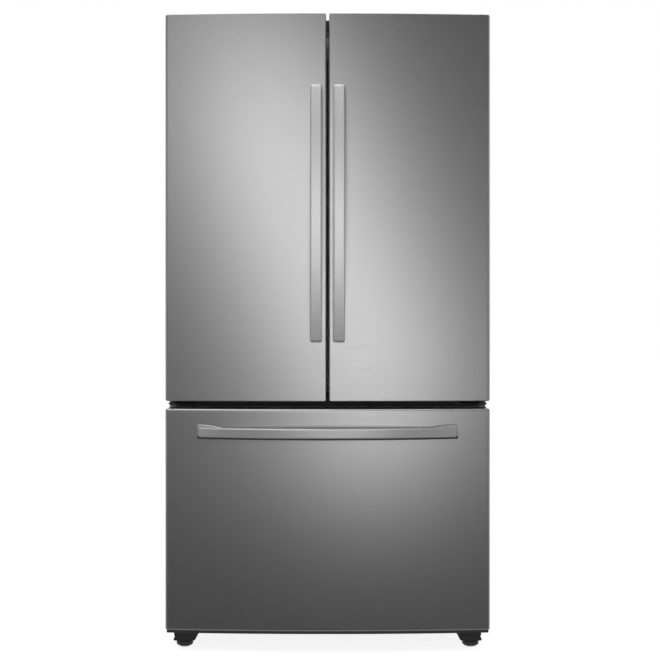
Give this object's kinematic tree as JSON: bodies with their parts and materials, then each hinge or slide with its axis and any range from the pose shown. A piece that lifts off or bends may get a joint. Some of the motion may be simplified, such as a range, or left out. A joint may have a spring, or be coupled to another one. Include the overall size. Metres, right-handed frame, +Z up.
{
  "type": "french door refrigerator",
  "caption": "Free-standing refrigerator with side-by-side swinging upper doors over a wide pull-out freezer drawer, brushed steel fronts and bowed bar handles.",
  "frame": {"origin": "on the floor, at the centre of the footprint over the handles", "axes": "+Z up, the fronts face -Y, +X to the right seen from the front"},
  "size_m": [0.908, 0.92, 1.7838],
  "materials": {
    "front_steel": "brushed, horizontal grain",
    "handle_steel": "fine brushed",
    "cabinet_paint": "textured grey",
    "zinc_sheet": "zinc plated",
    "black_metal": "satin",
    "dark_plastic": "fine grain",
    "white_liner": "smooth",
    "light_lens": "frosted",
    "coil_fins": "plain",
    "shelf_glass": "clear",
    "clear_plastic": "clear",
    "gasket_rubber": "soft",
    "mullion_plastic": "fine grain"
  },
  "bodies": {
    "cabinet": {"cabinet_shell": "cabinet_paint", "rear_panel": "zinc_sheet", "fridge_liner": "white_liner", "freezer_liner": "white_liner", "center_rail": "dark_plastic", "base_frame": "black_metal", "compressor_cover": "dark_plastic", "compressor": "black_metal", "condenser": "black_metal", "fan_frame": "dark_plastic", "drain_pan": "dark_plastic", "evaporator": "coil_fins", "evaporator_cover": "white_liner", "air_duct_cover": "white_liner", "ceiling_light": "light_lens", "top_cover": "dark_plastic", "top_hinge_left": "black_metal", "top_hinge_right": "black_metal", "hinge_covers": "dark_plastic", "mid_hinge_left": "black_metal", "mid_hinge_right": "black_metal", "leg_brackets": "black_metal", "shelf_upper_left": "shelf_glass", "shelf_upper_right": "shelf_glass", "shelf_lower": "shelf_glass", "crisper_cover": "shelf_glass", "slide_guides": "zinc_sheet"},
    "left_door": {"left_door_skin": "front_steel", "left_door_liner": "white_liner", "left_door_caps": "dark_plastic", "left_door_gasket": "gasket_rubber", "left_handle": "handle_steel", "left_bin_upper": "clear_plastic", "left_bin_middle": "clear_plastic", "left_bin_lower": "clear_plastic"},
    "right_door": {"right_door_skin": "front_steel", "right_door_liner": "white_liner", "right_door_caps": "dark_plastic", "right_door_gasket": "gasket_rubber", "right_handle": "handle_steel", "right_bin_upper": "clear_plastic", "right_bin_middle": "clear_plastic", "right_bin_lower": "clear_plastic"},
    "freezer_drawer": {"drawer_skin": "front_steel", "drawer_liner": "white_liner", "drawer_caps": "dark_plastic", "drawer_gasket": "gasket_rubber", "drawer_handle": "handle_steel", "drawer_slides": "zinc_sheet", "freezer_basket": "white_liner"},
    "mullion": {"mullion": "mullion_plastic"},
    "slide_carriages": {"slide_carriages": "zinc_sheet"},
    "upper_freezer_drawer": {"upper_freezer_drawer": "white_liner"},
    "crisper_left": {"crisper_left": "clear_plastic"},
    "crisper_right": {"crisper_right": "clear_plastic"},
    "condenser_fan": {"condenser_fan": "dark_plastic"},
    "evaporator_fan": {"evaporator_fan": "dark_plastic"},
    "leg_left": {"leg_left": "dark_plastic"},
    "leg_right": {"leg_right": "dark_plastic"},
    "rear_rollers": {"rear_rollers": "dark_plastic"}
  },
  "joints": [
    {"name": "left_door_hinge", "type": "hinge", "parent": "cabinet", "child": "left_door", "pos_m": [-0.434, -0.33, 1.2], "axis": [0, 0, -1], "range_deg": [0, 120]},
    {"name": "right_door_hinge", "type": "hinge", "parent": "cabinet", "child": "right_door", "pos_m": [0.434, -0.33, 1.2], "axis": [0, 0, 1], "range_deg": [0, 120]},
    {"name": "mullion_fold", "type": "hinge", "parent": "left_door", "child": "mullion", "pos_m": [-0.036, -0.2655, 1.2], "axis": [0, 0, -1], "range_deg": [0, 90]},
    {"name": "freezer_drawer_slide", "type": "slide", "parent": "cabinet", "child": "freezer_drawer", "axis": [0, -1, 0], "range_m": [0, 0.46]},
    {"name": "slide_carriage_travel", "type": "slide", "parent": "cabinet", "child": "slide_carriages", "axis": [0, -1, 0], "range_m": [0, 0.23]},
    {"name": "upper_drawer_slide", "type": "slide", "parent": "cabinet", "child": "upper_freezer_drawer", "axis": [0, -1, 0], "range_m": [0, 0.322]},
    {"name": "crisper_left_slide", "type": "slide", "parent": "cabinet", "child": "crisper_left", "axis": [0, -1, 0], "range_m": [0, 0.045]},
    {"name": "crisper_right_slide", "type": "slide", "parent": "cabinet", "child": "crisper_right", "axis": [0, -1, 0], "range_m": [0, 0.045]},
    {"name": "condenser_fan_spin", "type": "hinge", "parent": "cabinet", "child": "condenser_fan", "pos_m": [-0.102, 0.35, 0.16], "axis": [1, 0, 0], "continuous": true},
    {"name": "evaporator_fan_spin", "type": "hinge", "parent": "cabinet", "child": "evaporator_fan", "pos_m": [0, 0.352, 0.59], "axis": [0, 1, 0], "continuous": true},
    {"name": "leg_left_screw", "type": "hinge", "parent": "cabinet", "child": "leg_left", "pos_m": [-0.405, -0.312, 0], "axis": [0, 0, 1], "range_deg": [-720, 720]},
    {"name": "leg_right_screw", "type": "hinge", "parent": "cabinet", "child": "leg_right", "pos_m": [0.405, -0.312, 0], "axis": [0, 0, 1], "range_deg": [-720, 720]},
    {"name": "rear_roller_spin", "type": "hinge", "parent": "cabinet", "child": "rear_rollers", "pos_m": [0, 0.395, 0.02], "axis": [1, 0, 0], "continuous": true}
  ],
  "couplings": [
    {"joint": "slide_carriage_travel", "follows": "freezer_drawer_slide", "ratio": 0.5},
    {"joint": "upper_drawer_slide", "follows": "freezer_drawer_slide", "ratio": 0.7}
  ]
}
